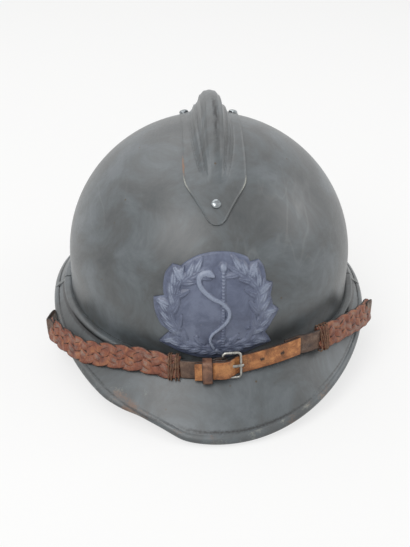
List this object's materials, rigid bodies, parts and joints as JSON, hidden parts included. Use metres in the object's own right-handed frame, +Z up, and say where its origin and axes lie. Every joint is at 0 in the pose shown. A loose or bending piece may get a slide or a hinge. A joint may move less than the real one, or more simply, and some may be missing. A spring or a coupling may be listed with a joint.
{
  "type": "steel helmet with crest and chin strap",
  "caption": "Steel combat helmet with a riveted comb, crimped two-part brim, stamped wreath plate, laced leather liner and a plaited chin strap worn over the visor.",
  "frame": {"origin": "on the table, under the middle of the helmet's outline", "axes": "+Z up, the front of the helmet towards -Y, the wearer's left towards +X"},
  "size_m": [0.2266, 0.2884, 0.1669],
  "materials": {
    "slate_paint": "satin slate blue-grey paint, worn at edges",
    "rivet_steel": "painted rivet heads rubbed bright on top",
    "badge_paint": "blue-violet grey paint on stamped sheet",
    "spacer_aluminium": "corrugated bare aluminium sheet",
    "wool_felt": "dark blue-grey wool cloth",
    "liner_leather": "dark brown sheepskin leather, smooth side in",
    "lace_cord": "twisted lace",
    "plait_leather": "reddish brown plaited leather, greyish at the edges",
    "tan_leather": "orange-tan strap leather with worn edges",
    "dark_leather": "dark brown strap leather",
    "lacing_thread": "waxed brown thread",
    "steel_wire": "bright drawn wire",
    "tab_steel": "folded plain steel sheet"
  },
  "bodies": {
    "helmet": {"shell": "slate_paint", "visor": "slate_paint", "neck_guard": "slate_paint", "crest": "slate_paint", "crest_rivet_front": "rivet_steel", "crest_rivet_rear": "rivet_steel", "crest_side_rivets": "rivet_steel", "badge_plate": "badge_paint", "spacer_front": "spacer_aluminium", "spacer_left": "spacer_aluminium", "spacer_rear": "spacer_aluminium", "spacer_right": "spacer_aluminium", "wool_band": "wool_felt", "liner_band": "liner_leather", "liner_tongues": "liner_leather", "liner_lace": "lace_cord", "liner_clips": "tab_steel", "bail_tab_left": "tab_steel", "bail_tab_right": "tab_steel", "strap_end_left": "dark_leather", "strap_end_right": "dark_leather"},
    "chinstrap": {"braid_right": "plait_leather", "braid_left": "plait_leather", "buckle_strap": "dark_leather", "buckle_frame": "steel_wire", "billet_strap": "tan_leather", "lacing_right": "lacing_thread", "lacing_left": "lacing_thread"},
    "prong": {"buckle_tongue": "steel_wire"},
    "slider": {"keeper": "tan_leather"},
    "left_bail": {"bail_left": "steel_wire", "strap_loop_left": "dark_leather"},
    "right_bail": {"bail_right": "steel_wire", "strap_loop_right": "dark_leather"}
  },
  "joints": [
    {"name": "chinstrap_lift", "type": "hinge", "parent": "helmet", "child": "chinstrap", "pos_m": [0, -0.0428, 0.051], "axis": [-1, 0, 0], "range_deg": [0, 12]},
    {"name": "prong_turn", "type": "hinge", "parent": "chinstrap", "child": "prong", "pos_m": [0.00364, -0.11517, 0.03874], "axis": [0.0349, -0.1356, -0.9901], "range_deg": [0, 20]},
    {"name": "keeper_slide", "type": "hinge", "parent": "chinstrap", "child": "slider", "pos_m": [-0.002, 0.0114, 0.0212], "axis": [0.0349, -0.1356, -0.9901], "range_deg": [0, 3]},
    {"name": "left_bail_swing", "type": "hinge", "parent": "helmet", "child": "left_bail", "pos_m": [0.0947, -0.0018, 0.0312], "axis": [0, 1, 0], "range_deg": [-15, 25]},
    {"name": "right_bail_swing", "type": "hinge", "parent": "helmet", "child": "right_bail", "pos_m": [-0.0947, -0.0018, 0.0312], "axis": [0, -1, 0], "range_deg": [-15, 25]}
  ]
}
